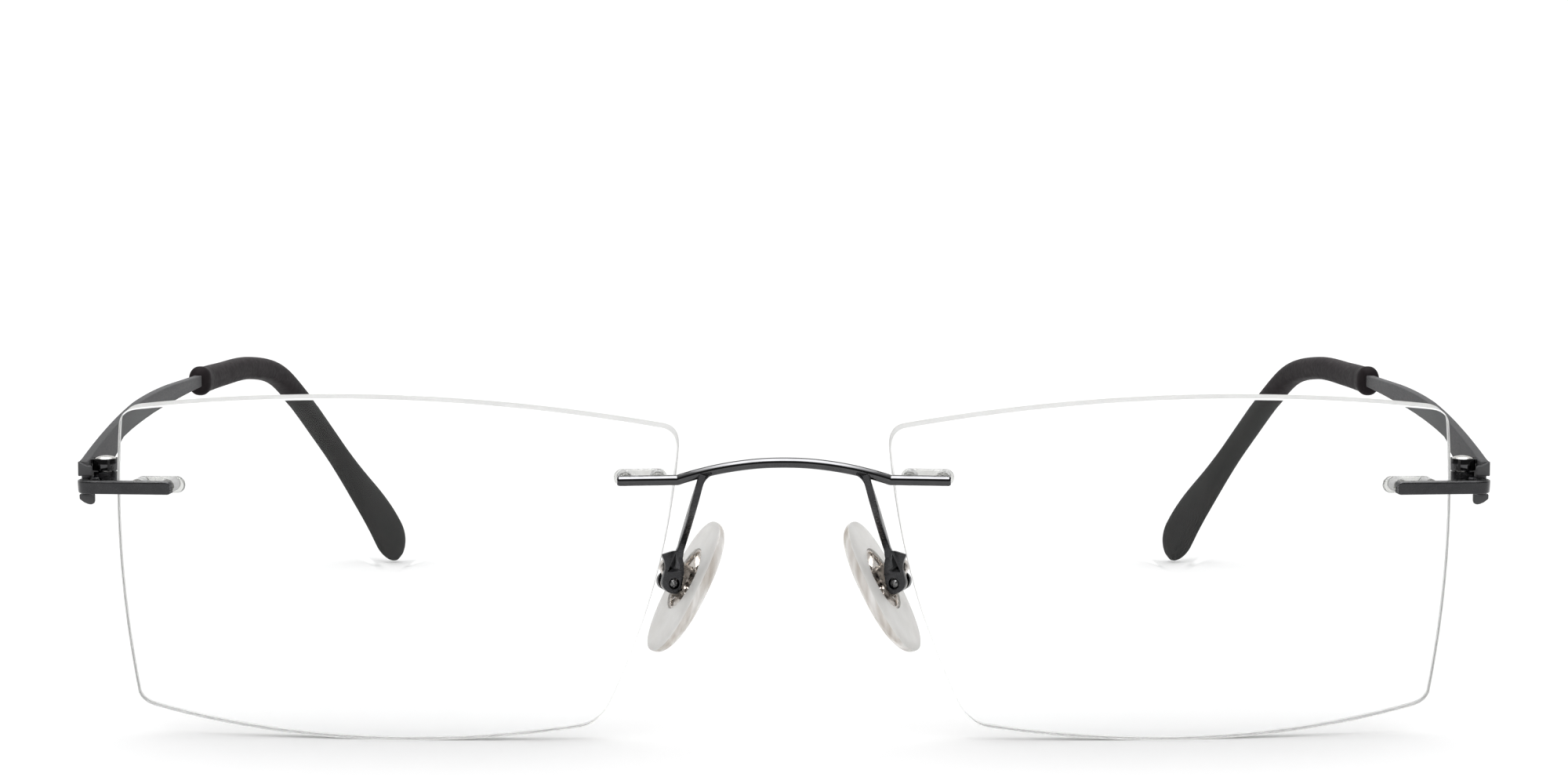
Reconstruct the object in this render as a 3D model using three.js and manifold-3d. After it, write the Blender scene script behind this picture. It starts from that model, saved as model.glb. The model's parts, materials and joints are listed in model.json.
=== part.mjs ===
// Rimless eyeglasses, standing open on the two lens bottoms and the two temple tips.
// Millimetres, +Z up. The front faces -Y, the temples run back along +Y, and -X is the
// wearer's right. While it is being built, y = 0 is the plane of the lens feet; the whole
// model is moved at the end so that its origin is the centre of its footprint on the floor.
// One half is described, with x negative, and the other half is the same group mirrored.

import * as THREE from 'three';
import { mergeVertices } from 'three/addons/utils/BufferGeometryUtils.js';
import Module from 'manifold-3d';

const wasm = await Module();
wasm.setup();

// ---- driving dimensions ----

// Lenses: a 54 by 33 mm meniscus on a 132 mm front curve
const LENS_FRONT_RADIUS = 132;
const LENS_THICKNESS = 2.0;
const LENS_BLANK_RADIUS = 31;
const LENS_APEX = new THREE.Vector3(-37.0, -3.5, 16.2);
const LENS_LEAN = THREE.MathUtils.degToRad(9);
const LENS_WRAP = THREE.MathUtils.degToRad(4);
const PLUG_HOLE_RADIUS = 0.74;

// Drill points on the lens, right (u) and up (v) of the lens centre, and the turn of each pair
const TEMPORAL_MOUNT = { u: -22.93, v: 7.96, roll: THREE.MathUtils.degToRad(2.5) };
const NASAL_MOUNT = { u: 23.65, v: 8.96, roll: THREE.MathUtils.degToRad(-1.3) };
const PIN_SPACING = 3.1;
const PIN_RADIUS = 0.32;
const FACE_GAP = 0.3;

// Clear plugs behind the lens
const PLUG_BARREL_RADIUS = 0.62;
const PLUG_BORE_RADIUS = 0.42;
const PLUG_PLATE = { length: 5.0, height: 1.6, thickness: 0.55, drop: 0.18 };
const PLUG_GAP = 0.2;

// Bridge wire
const BRIDGE_RADIUS = 0.49;
const BRIDGE_KINK_X = 9.95;
const BRIDGE_CREST = new THREE.Vector3(0, -5.4, 27.1);
const BRIDGE_BAR_START = -2.35;

// Pad arm, pad box and nose pad, placed from the pad screw
const PAD_SCREW_POINT = new THREE.Vector3(-10.95, 2.6, 14.77);
const BOX_TOWARDS_NOSE = new THREE.Vector3(0.9, 0.435, -0.05);
const BOX_UP = new THREE.Vector3(0.15, 0.05, 0.985);
const PAD_ROCK = THREE.MathUtils.degToRad(-26);
const PAD_SCREW_RADIUS = 0.47;
const PAD_SCREW_HOLE = 0.58;
const PAD_SCREW_HEAD = { radius: 0.85, height: 0.45 };
const BOX_HALF_DEPTH = 1.05;
const BOX_SLOT_HALF = 0.5;
const TAB_HALF_THICKNESS = 0.34;
const TAB_SIDE = { bottom: -1.0, top: 2.3 };
const TAB_EYE_RADIUS = 0.9;
const TAB_LOBE = { nose: -0.69, up: 1.17, radius: 1.06 };
const PAD_HALF = { dome: 1.25, back: 0.35, length: 6.9, width: 3.3 };
const PAD_BLUNTNESS = 2.4;
const PAD_CENTRE = { nose: 1.5, up: 0.3 };
const INSERT_CENTRE = { nose: 1.5, up: 0.98 };
const INSERT_HALF = { thickness: 0.2, length: 3.15, width: 1.8 };
const ARM_TOP = new THREE.Vector3(-7.86, -5.15, 25.08);
const ARM_FOOT = new THREE.Vector3(-10.15, 2.05, 17.4);
const ARM_WIDTH = 0.69;
const ARM_DEPTH = 1.0;

// Endpiece and hinge, about a vertical screw
const HINGE_POINT = new THREE.Vector2(-65.3, 4.25);
const BAR_HEIGHT = 1.22;
const BAR_THICKNESS = 0.9;
const BAR_INNER_END = 2.25;
const BAR_OUTER_END = -6.3;
const WRAP_BOTTOM = 23.58;
const WRAP_TOP = 24.82;
const LOWER_KNUCKLE = { radius: 1.15, bottom: 23.42, top: 25.3 };
const UPPER_KNUCKLE = { radius: 1.25, bottom: 25.42, top: 26.6 };
const HINGE_BORE_RADIUS = 0.72;
const HEAD_RECESS = { radius: 1.1, bottom: 26.35 };
const HINGE_SCREW = { radius: 0.6, head: 1.0, bottom: 23.5, seat: 26.43, crown: 26.86 };

// Temple
const BLADE_OUTER_X = -67.5;
const BLADE_THICKNESS = 0.9;
const BLADE_FRONT_Y = 2.0;
const BLADE_END_Y = 62.3;
const CLAW_DEPTH = 1.45;
const CLAW_LENGTH = 0.6;
const CLAW_TOP = 26.4;
const CLAW_BOTTOM = 22.35;
const SLOT_END_Y = 3.5;
const SLOT_BOTTOM = 23.3;
const SLOT_TOP = 25.05;

// Temple tip: a sleeve on a wire core that follows this line
const TIP_LINE = new THREE.CatmullRomCurve3([
  new THREE.Vector3(-67.05, 60.0, 29.72),
  new THREE.Vector3(-66.7, 74.0, 29.65),
  new THREE.Vector3(-65.4, 87.0, 29.55),
  new THREE.Vector3(-63.9, 98.0, 28.0),
  new THREE.Vector3(-62.8, 107.3, 24.6),
  new THREE.Vector3(-60.6, 115.0, 19.2),
  new THREE.Vector3(-57.5, 122.6, 12.2),
  new THREE.Vector3(-54.7, 128.8, 5.9),
  new THREE.Vector3(-52.65, 132.21, 0.46),
], false, 'centripetal');
const SLEEVE_START = 0.029;
const CORE_START = -0.012;
const CORE_END = 0.62;
const SLEEVE_FRONT = { width: 2.3, height: 3.0 };
const SLEEVE_BODY = { width: 2.8, height: 2.75 };
const SLEEVE_PADDLE = { width: 2.1, height: 5.55 };
const CORE_SECTION = { width: 0.85, height: 1.05 };
const BORE_SECTION = { width: 1.25, height: 1.45 };

// ---- materials ----

const finishes = {
  lens: { color: 0xf2f5f5, roughness: 0.04, metalness: 0, transparent: true, opacity: 0.25 },
  plug: { color: 0xe8e8e4, roughness: 0.15, metalness: 0, transparent: true, opacity: 0.5 },
  silicone: { color: 0xe2ded8, roughness: 0.25, metalness: 0, transparent: true, opacity: 0.6 },
  blackMetal: { color: 0x3a3a3b, roughness: 0.25, metalness: 0.9 },
  satinMetal: { color: 0x505052, roughness: 0.45, metalness: 0.8 },
  steel: { color: 0xb9bab8, roughness: 0.25, metalness: 1 },
  tip: { color: 0x2c282a, roughness: 0.6, metalness: 0 },
};

function finish(name) {
  return new THREE.MeshStandardMaterial(finishes[name]);
}

// ---- closed solids: joining, cutting and the basic forms ----

function toSolid(geometry) {
  const plain = geometry.clone();
  plain.deleteAttribute('normal');
  plain.deleteAttribute('uv');
  const merged = mergeVertices(plain);
  const corners = merged.index.array;
  const kept = [];
  for (let i = 0; i < corners.length; i += 3) {
    const [a, b, c] = [corners[i], corners[i + 1], corners[i + 2]];
    if (a !== b && b !== c && c !== a) kept.push(a, b, c);
  }
  return new wasm.Manifold(new wasm.Mesh({
    numProp: 3,
    vertProperties: merged.attributes.position.array,
    triVerts: new Uint32Array(kept),
  }));
}

function toGeometry(solid) {
  const mesh = solid.getMesh();
  const geometry = new THREE.BufferGeometry();
  geometry.setAttribute('position', new THREE.BufferAttribute(new Float32Array(mesh.vertProperties), 3));
  geometry.setIndex(new THREE.BufferAttribute(new Uint32Array(mesh.triVerts), 1));
  geometry.computeVertexNormals();
  return geometry;
}

function joined(geometries) {
  return geometries.map(toSolid).reduce((whole, next) => whole.add(next));
}

function cut(solid, geometries) {
  return geometries.map(toSolid).reduce((whole, next) => whole.subtract(next), solid);
}

// A flat outline pushed along Z from bottom to top
function prism(shape, bottom, top, curveSegments = 8) {
  const options = { depth: top - bottom, bevelEnabled: false, curveSegments };
  return new THREE.ExtrudeGeometry(shape, options).translate(0, 0, bottom);
}

// A round bar along Z
function rod(radius, bottom, top, x = 0, y = 0, segments = 24) {
  const bar = new THREE.CylinderGeometry(radius, radius, top - bottom, segments);
  return bar.rotateX(Math.PI / 2).translate(x, y, (bottom + top) / 2);
}

function block(minimum, maximum) {
  const size = maximum.map((high, axis) => high - minimum[axis]);
  const middle = maximum.map((high, axis) => (high + minimum[axis]) / 2);
  return new THREE.BoxGeometry(...size).translate(...middle);
}

function ellipse(halfWidth, halfHeight, x = 0, y = 0) {
  const shape = new THREE.Shape();
  shape.absellipse(x, y, halfWidth, halfHeight, 0, 2 * Math.PI);
  return shape;
}

// A bar whose section changes along a line. size(s) gives the full width, across the
// line and level, and the full height at s from 0 to 1, and place(s) the point on the line.
function loft(line, from, to, size, rings, sides) {
  const form = new THREE.CylinderGeometry(1, 1, 1, sides, rings);
  const points = form.attributes.position;
  const upright = new THREE.Vector3(0, 0, 1);
  for (let i = 0; i < points.count; i += 1) {
    const s = points.getY(i) + 0.5;
    const along = from + s * (to - from);
    const inside = THREE.MathUtils.clamp(along, 0, 1);
    const centre = line.getPointAt(inside);
    const forward = line.getTangentAt(inside);
    centre.addScaledVector(forward, (along - inside) * line.getLength());
    const across = new THREE.Vector3().crossVectors(forward, upright).normalize();
    const over = new THREE.Vector3().crossVectors(across, forward);
    const { width, height } = size(s);
    centre.addScaledVector(across, points.getX(i) * width / 2);
    centre.addScaledVector(over, points.getZ(i) * height / 2);
    points.setXYZ(i, centre.x, centre.y, centre.z);
  }
  return form;
}

// ---- frames that the pieces are placed in ----

function lensFrame() {
  const turn = new THREE.Euler(Math.PI / 2 + LENS_LEAN, 0, -LENS_WRAP, 'ZYX');
  return new THREE.Matrix4().makeRotationFromEuler(turn).setPosition(LENS_APEX);
}

// Stands on the front surface of the lens at a drill point: x along the pair of holes, y up,
// z out of the lens
function mountFrame({ u, v, roll }) {
  const pitch = Math.asin(v / LENS_FRONT_RADIUS);
  const yaw = Math.asin(u / (LENS_FRONT_RADIUS * Math.cos(pitch)));
  const swing = new THREE.Matrix4().makeRotationFromEuler(new THREE.Euler(-pitch, yaw, 0, 'YXZ'));
  const outward = new THREE.Matrix4().makeTranslation(0, 0, LENS_FRONT_RADIUS);
  const inward = new THREE.Matrix4().makeTranslation(0, 0, -LENS_FRONT_RADIUS);
  return inward.multiply(swing).multiply(outward).multiply(new THREE.Matrix4().makeRotationZ(roll));
}

// Stands on the pad screw: x towards the nose, y up the pad, z along the screw to the front
function screwFrame(rock) {
  const nose = BOX_TOWARDS_NOSE.clone().normalize();
  const front = new THREE.Vector3().crossVectors(nose, BOX_UP).normalize();
  const up = new THREE.Vector3().crossVectors(front, nose);
  const frame = new THREE.Matrix4().makeBasis(nose, up, front).setPosition(PAD_SCREW_POINT);
  return frame.multiply(new THREE.Matrix4().makeRotationZ(rock));
}

const LENS = lensFrame();
const TEMPORAL = mountFrame(TEMPORAL_MOUNT);
const NASAL = mountFrame(NASAL_MOUNT);
const PIN_PLACES = [-PIN_SPACING / 2, PIN_SPACING / 2];

// ---- lens and plugs ----

function lensOutline() {
  const outline = new THREE.Shape();
  outline.moveTo(25.5, 13.7);
  outline.quadraticCurveTo(1.6, 19.0, -23.4, 15.46);
  outline.quadraticCurveTo(-25.9, 15.15, -26.1, 13.2);
  outline.quadraticCurveTo(-27.3, 1.3, -25.75, -13.0);
  outline.quadraticCurveTo(-25.5, -13.9, -24.2, -14.25);
  outline.quadraticCurveTo(-4.6, -18.45, 17.4, -15.55);
  outline.quadraticCurveTo(19.2, -15.15, 20.4, -12.6);
  outline.quadraticCurveTo(25.8, -1.1, 26.95, 11.5);
  outline.quadraticCurveTo(27.0, 13.4, 25.5, 13.7);
  return outline;
}

// Two concentric spherical faces, as a turned blank with its axis along Z
function lensBlank() {
  const faceSteps = 4;
  const profile = [];
  for (let i = 0; i <= faceSteps; i += 1) {
    const r = LENS_BLANK_RADIUS * i / faceSteps;
    const backRadius = LENS_FRONT_RADIUS - LENS_THICKNESS;
    profile.push(new THREE.Vector2(r, Math.sqrt(backRadius ** 2 - r ** 2) - LENS_FRONT_RADIUS));
  }
  for (let i = faceSteps; i >= 0; i -= 1) {
    const r = LENS_BLANK_RADIUS * i / faceSteps;
    profile.push(new THREE.Vector2(r, Math.sqrt(LENS_FRONT_RADIUS ** 2 - r ** 2) - LENS_FRONT_RADIUS));
  }
  return new THREE.LatheGeometry(profile, 32).rotateX(Math.PI / 2);
}

function lens() {
  const reach = 8;
  const outline = toSolid(prism(lensOutline(), -reach, reach, 6));
  const holes = [];
  for (const mount of [TEMPORAL, NASAL]) {
    for (const x of PIN_PLACES) {
      holes.push(rod(PLUG_HOLE_RADIUS, -reach / 2, reach / 2, x, 0, 16).applyMatrix4(mount));
    }
  }
  return toGeometry(cut(toSolid(lensBlank()).intersect(outline), holes));
}

// A plate behind the lens with two barrels that line its holes
function plug() {
  const plateFront = -LENS_THICKNESS - PLUG_GAP;
  const plateBack = plateFront - PLUG_PLATE.thickness;
  const half = PLUG_PLATE.length / 2;
  const corner = PLUG_PLATE.height / 2;
  const outline = new THREE.Shape();
  outline.moveTo(-half + corner, -corner);
  outline.lineTo(half - corner, -corner);
  outline.absarc(half - corner, 0, corner, -Math.PI / 2, Math.PI / 2);
  outline.lineTo(-half + corner, corner);
  outline.absarc(-half + corner, 0, corner, Math.PI / 2, 1.5 * Math.PI);
  const bodies = [prism(outline, plateBack, plateFront, 6).translate(0, -PLUG_PLATE.drop, 0)];
  const bores = [];
  for (const x of PIN_PLACES) {
    bodies.push(rod(PLUG_BARREL_RADIUS, (plateFront + plateBack) / 2, -0.1, x, 0, 16));
    bores.push(rod(PLUG_BORE_RADIUS, plateBack + 0.25, 1, x, 0, 16));
  }
  return toGeometry(cut(joined(bodies), bores));
}

function pins(frontZ) {
  const tip = -LENS_THICKNESS + 0.1;
  return PIN_PLACES.map((x) => rod(PIN_RADIUS, tip, frontZ, x, 0, 12));
}

// ---- bridge ----

// The wire's line from one end to the other: a straight bar in front of each lens and an
// arch between them
function bridgeLine() {
  const barZ = FACE_GAP + BRIDGE_RADIUS;
  const place = new THREE.Matrix4().multiplyMatrices(LENS, NASAL);
  const start = new THREE.Vector3(BRIDGE_BAR_START, 0, barZ).applyMatrix4(place);
  const ahead = new THREE.Vector3(0, 0, barZ).applyMatrix4(place);
  const slope = ahead.clone().sub(start).divideScalar(ahead.x - start.x);
  const onBar = (x) => start.clone().addScaledVector(slope, x - start.x);
  const kink = onBar(-BRIDGE_KINK_X);
  const half = [start, onBar(-BRIDGE_KINK_X - 2.5), onBar(-BRIDGE_KINK_X - 0.5), kink];
  for (const x of [-8.2, -6.0, -3.6, -1.4]) {
    const drop = (x / BRIDGE_KINK_X) ** 2;
    const y = THREE.MathUtils.lerp(BRIDGE_CREST.y, kink.y, drop);
    const z = THREE.MathUtils.lerp(BRIDGE_CREST.z, kink.z, drop);
    half.push(new THREE.Vector3(x, y, z));
  }
  const mirrored = half.map((p) => new THREE.Vector3(-p.x, p.y, p.z)).reverse();
  return new THREE.CatmullRomCurve3([...half, ...mirrored], false, 'centripetal');
}

function bridge() {
  const options = { steps: 40, bevelEnabled: false, extrudePath: bridgeLine(), curveSegments: 5 };
  const wire = new THREE.ExtrudeGeometry(ellipse(BRIDGE_RADIUS, BRIDGE_RADIUS), options);
  const flip = new THREE.Matrix4().makeScale(-1, 1, 1);
  const right = new THREE.Matrix4().multiplyMatrices(LENS, NASAL);
  const left = flip.clone().multiply(right).multiply(flip);
  const bodies = [wire];
  for (const place of [right, left]) {
    for (const pin of pins(FACE_GAP + BRIDGE_RADIUS)) bodies.push(pin.applyMatrix4(place));
  }
  return toGeometry(joined(bodies));
}

// ---- pad arm, nose pad and their screw ----

// Seen from the front, in the screw frame
function padBoxOutline() {
  const outline = new THREE.Shape();
  outline.moveTo(-1.22, 0.3);
  outline.quadraticCurveTo(-1.28, -0.35, -0.72, -0.73);
  outline.quadraticCurveTo(-0.3, -1.0, 0.16, -1.0);
  outline.quadraticCurveTo(0.62, -1.0, 0.8, -0.3);
  outline.lineTo(0.96, 1.0);
  outline.lineTo(0.89, 1.95);
  outline.lineTo(0.52, 3.2);
  outline.lineTo(-0.3, 3.15);
  outline.lineTo(-1.48, 2.8);
  outline.quadraticCurveTo(-1.02, 2.2, -1.02, 1.35);
  outline.closePath();
  return outline;
}

// The arm's side view: x is back, y is up along the arm, from the bridge down to the box
function padArmOutline(fall, run) {
  const half = ARM_DEPTH / 2;
  const outline = new THREE.Shape();
  outline.moveTo(-half, 0);
  outline.bezierCurveTo(-half, -fall * 0.4, run - half, -fall * 0.6, run - half, -fall);
  outline.lineTo(run + half, -fall);
  outline.bezierCurveTo(run + half, -fall * 0.6, half, -fall * 0.4, half, 0);
  outline.closePath();
  return outline;
}

function padArm() {
  const top = ARM_TOP;
  const foot = ARM_FOOT;
  const up = new THREE.Vector3(top.x - foot.x, 0, top.z - foot.z);
  const fall = up.length();
  up.normalize();
  const back = new THREE.Vector3(0, 1, 0);
  const across = new THREE.Vector3().crossVectors(back, up);
  const place = new THREE.Matrix4().makeBasis(back, up, across).setPosition(top);
  const outline = padArmOutline(fall, foot.y - top.y);
  const arm = prism(outline, -ARM_WIDTH / 2, ARM_WIDTH / 2, 10).applyMatrix4(place);
  const inBox = screwFrame(0);
  const box = prism(padBoxOutline(), -BOX_HALF_DEPTH, BOX_HALF_DEPTH, 8).applyMatrix4(inBox);
  const slot = block([-3, -3, -BOX_SLOT_HALF], [3, 2.5, BOX_SLOT_HALF]).applyMatrix4(inBox);
  const hole = rod(PAD_SCREW_HOLE, -3, 3).applyMatrix4(inBox);
  return toGeometry(cut(joined([arm, box]), [slot, hole]));
}

function onPad(geometry) {
  return geometry.applyMatrix4(screwFrame(PAD_ROCK));
}

// An oval lying across the nose direction, pushed along it
function ovalPlate(half, from, to, up) {
  const plate = prism(ellipse(half.width, half.length), from, to, 10);
  return plate.rotateY(Math.PI / 2).translate(0, up, 0);
}

// A blunt oval, domed towards the nose and nearly flat at the back, with a pocket there
function nosePad() {
  const body = new THREE.SphereGeometry(1, 20, 12).rotateX(Math.PI / 2);
  const points = body.attributes.position;
  for (let i = 0; i < points.count; i += 1) {
    const place = [points.getX(i), points.getY(i), points.getZ(i)];
    const sum = place.reduce((total, value) => total + Math.abs(value) ** PAD_BLUNTNESS, 0);
    const [x, y, z] = place.map((value) => value * sum ** (-1 / PAD_BLUNTNESS));
    const depth = x > 0 ? PAD_HALF.dome : PAD_HALF.back;
    points.setXYZ(i, x * depth, y * PAD_HALF.length, z * PAD_HALF.width);
  }
  body.translate(PAD_CENTRE.nose, PAD_CENTRE.up, 0);
  const room = 0.25;
  const pocketHalf = { width: INSERT_HALF.width + room, length: INSERT_HALF.length + room };
  const pocketEnd = INSERT_CENTRE.nose + INSERT_HALF.thickness + room;
  const pocket = ovalPlate(pocketHalf, 0, pocketEnd, INSERT_CENTRE.up);
  return onPad(toGeometry(cut(toSolid(body), [pocket])));
}

// The stiff plate in the pad's back and its tab, which goes into the pad box
function padInsert() {
  const from = INSERT_CENTRE.nose - INSERT_HALF.thickness;
  const to = INSERT_CENTRE.nose + INSERT_HALF.thickness;
  const plate = ovalPlate(INSERT_HALF, from, to, INSERT_CENTRE.up);
  const lobe = TAB_LOBE;
  const tab = new THREE.Shape();
  tab.moveTo(to, TAB_SIDE.bottom);
  tab.lineTo(to, TAB_SIDE.top);
  tab.absarc(lobe.nose, lobe.up, lobe.radius, Math.PI / 2, 1.15 * Math.PI);
  tab.quadraticCurveTo(-1.1, 0.5, -TAB_EYE_RADIUS, 0);
  tab.absarc(0, 0, TAB_EYE_RADIUS, Math.PI, 1.5 * Math.PI);
  tab.closePath();
  const body = joined([plate, prism(tab, -TAB_HALF_THICKNESS, TAB_HALF_THICKNESS, 8)]);
  return onPad(toGeometry(cut(body, [rod(PAD_SCREW_HOLE, -2, 2)])));
}

function padScrew() {
  const seat = -BOX_HALF_DEPTH - 0.15;
  const head = rod(PAD_SCREW_HEAD.radius, seat - PAD_SCREW_HEAD.height, seat);
  const shank = rod(PAD_SCREW_RADIUS, seat - 0.25, BOX_HALF_DEPTH - 0.1);
  return toGeometry(joined([head, shank])).applyMatrix4(screwFrame(0));
}

// ---- endpiece, hinge and temple ----

// Seen from above: from the bar's end round the corner and back to the hinge
function wrapOutline() {
  const outline = new THREE.Shape();
  outline.moveTo(-65.5, -0.75);
  outline.quadraticCurveTo(-67.2, -0.35, -67.28, 1.0);
  outline.lineTo(-67.28, 3.2);
  outline.lineTo(-66.3, 3.3);
  outline.lineTo(HINGE_POINT.x, HINGE_POINT.y);
  outline.lineTo(-65.2, 3.2);
  outline.lineTo(-66.1, 2.6);
  outline.quadraticCurveTo(-66.5, 2.2, -66.4, 1.2);
  outline.quadraticCurveTo(-66.2, 0.5, -65.5, 0.3);
  outline.closePath();
  return outline;
}

function knuckle({ radius, bottom, top }) {
  return rod(radius, bottom, top, HINGE_POINT.x, HINGE_POINT.y);
}

function hingeBore() {
  return rod(HINGE_BORE_RADIUS, 20, 28, HINGE_POINT.x, HINGE_POINT.y);
}

// A flat bar in front of the lens with two pins, wrapped round to the lower knuckle
function endpiece() {
  const place = new THREE.Matrix4().multiplyMatrices(LENS, TEMPORAL);
  const low = [BAR_OUTER_END, -BAR_HEIGHT / 2, FACE_GAP];
  const high = [BAR_INNER_END, BAR_HEIGHT / 2, FACE_GAP + BAR_THICKNESS];
  const onLens = [block(low, high), ...pins(FACE_GAP + BAR_THICKNESS / 2)];
  const wrap = prism(wrapOutline(), WRAP_BOTTOM, WRAP_TOP, 8);
  const bodies = [...onLens.map((body) => body.applyMatrix4(place)), wrap, knuckle(LOWER_KNUCKLE)];
  return toGeometry(cut(joined(bodies), [hingeBore()]));
}

// The blade's side view: x is back, y is up
function bladeOutline() {
  const outline = new THREE.Shape();
  outline.moveTo(BLADE_FRONT_Y, 22.55);
  outline.lineTo(BLADE_FRONT_Y, 26.45);
  outline.lineTo(3.6, 26.6);
  outline.quadraticCurveTo(16, 29.1, 28, 30.1);
  outline.quadraticCurveTo(36, 30.6, 46, 30.58);
  outline.lineTo(BLADE_END_Y, 30.4);
  outline.lineTo(BLADE_END_Y, 29.1);
  outline.quadraticCurveTo(34, 28.75, 20.6, 27.2);
  outline.quadraticCurveTo(16, 25.9, 5, 22.9);
  outline.closePath();
  return outline;
}

// Stands on the outer plane of the blade: x is back, y is up, z is towards the head
function bladeFrame() {
  const back = new THREE.Vector3(0, 1, 0);
  const up = new THREE.Vector3(0, 0, 1);
  const inward = new THREE.Vector3(1, 0, 0);
  return new THREE.Matrix4().makeBasis(back, up, inward).setPosition(BLADE_OUTER_X, 0, 0);
}

function temple() {
  const inner = BLADE_OUTER_X + BLADE_THICKNESS;
  const clawEnd = BLADE_OUTER_X + CLAW_DEPTH;
  const clawBack = BLADE_FRONT_Y + CLAW_LENGTH;
  const blade = prism(bladeOutline(), 0, BLADE_THICKNESS, 10).applyMatrix4(bladeFrame());
  const claws = [
    block([inner - 0.2, BLADE_FRONT_Y, SLOT_TOP], [clawEnd, clawBack, CLAW_TOP]),
    block([inner - 0.2, BLADE_FRONT_Y, CLAW_BOTTOM], [clawEnd, clawBack, SLOT_BOTTOM]),
  ];
  const { radius, bottom, top } = UPPER_KNUCKLE;
  const web = block(
    [inner - 0.2, HINGE_POINT.y - 0.6, bottom],
    [HINGE_POINT.x - HINGE_BORE_RADIUS, HINGE_POINT.y + radius, top],
  );
  const core = loft(TIP_LINE, CORE_START, CORE_END, () => CORE_SECTION, 18, 8);
  const bodies = [blade, ...claws, web, knuckle(UPPER_KNUCKLE), core];
  const slot = block([-69, 0, SLOT_BOTTOM], [-60, SLOT_END_Y, SLOT_TOP]);
  const recess = rod(HEAD_RECESS.radius, HEAD_RECESS.bottom, 28, HINGE_POINT.x, HINGE_POINT.y);
  return toGeometry(cut(joined(bodies), [hingeBore(), recess, slot]));
}

function hingeScrew() {
  const { radius, head, bottom, seat, crown } = HINGE_SCREW;
  const profile = [
    new THREE.Vector2(0, bottom),
    new THREE.Vector2(radius, bottom),
    new THREE.Vector2(radius, seat),
    new THREE.Vector2(head, seat),
    new THREE.Vector2(head, seat + 0.15),
    new THREE.Vector2(head * 0.65, crown - 0.08),
    new THREE.Vector2(0, crown),
  ];
  const screw = new THREE.LatheGeometry(profile, 24).rotateX(Math.PI / 2);
  return screw.translate(HINGE_POINT.x, HINGE_POINT.y, 0);
}

// The sleeve grows from a slim front end into a flat paddle with a rounded point
function sleeveSize(s) {
  const { smoothstep, lerp } = THREE.MathUtils;
  const swell = smoothstep(s, 0, 0.2);
  const flatten = smoothstep(s, 0.72, 0.94);
  const roundBack = Math.sqrt(Math.max(1 - (Math.max(s - 0.94, 0) / 0.06) ** 2, 0.12));
  const roundFront = 1 - 0.25 * (1 - smoothstep(s, 0, 0.02));
  const width = lerp(lerp(SLEEVE_FRONT.width, SLEEVE_BODY.width, swell), SLEEVE_PADDLE.width, flatten);
  const height = lerp(lerp(SLEEVE_FRONT.height, SLEEVE_BODY.height, swell), SLEEVE_PADDLE.height, flatten);
  return { width: width * roundBack * roundFront, height: height * roundBack * roundFront };
}

function templeTip() {
  const sleeve = loft(TIP_LINE, SLEEVE_START, 1, sleeveSize, 34, 14);
  const bore = loft(TIP_LINE, SLEEVE_START - 0.02, CORE_END + 0.01, () => BORE_SECTION, 18, 8);
  return toGeometry(cut(toSolid(sleeve), [bore]));
}

// ---- assembly ----

function piece(name, geometry, finishName) {
  const mesh = new THREE.Mesh(geometry, finish(finishName));
  mesh.name = name;
  return mesh;
}

function half(side) {
  const onLens = new THREE.Group();
  onLens.applyMatrix4(LENS);
  onLens.add(piece(`lens_${side}`, lens(), 'lens'));
  for (const [name, mount] of [['temporal', TEMPORAL], ['nasal', NASAL]]) {
    const clip = piece(`${name}_plug_${side}`, plug(), 'plug');
    clip.applyMatrix4(mount);
    onLens.add(clip);
  }
  const group = new THREE.Group();
  group.add(
    onLens,
    piece(`pad_arm_${side}`, padArm(), 'satinMetal'),
    piece(`nose_pad_${side}`, nosePad(), 'silicone'),
    piece(`pad_insert_${side}`, padInsert(), 'steel'),
    piece(`pad_screw_${side}`, padScrew(), 'steel'),
    piece(`endpiece_${side}`, endpiece(), 'satinMetal'),
    piece(`hinge_screw_${side}`, hingeScrew(), 'steel'),
    piece(`temple_${side}`, temple(), 'satinMetal'),
    piece(`temple_tip_${side}`, templeTip(), 'tip'),
  );
  return group;
}

const glasses = new THREE.Group();
const right = half('right');
const left = half('left');
left.scale.x = -1;
glasses.add(piece('bridge', bridge(), 'blackMetal'), right, left);

// Put the origin under the middle of the footprint
glasses.updateMatrixWorld(true);
const extent = new THREE.Box3().setFromObject(glasses, true);
glasses.position.set(0, -(extent.min.y + extent.max.y) / 2, -extent.min.z);

export default glasses;
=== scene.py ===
"""Rimless eyeglasses: the fine visual model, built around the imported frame.

Shapes are made in millimetres in the design frame, whose y = 0 is the plane of the lens feet,
and are then moved into the row frame, in metres. One half is made, with x negative (the wearer's
right), and mirrored for the other.
"""

import json
import math

import bmesh
import bpy
from mathutils import Euler, Matrix, Vector


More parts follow.
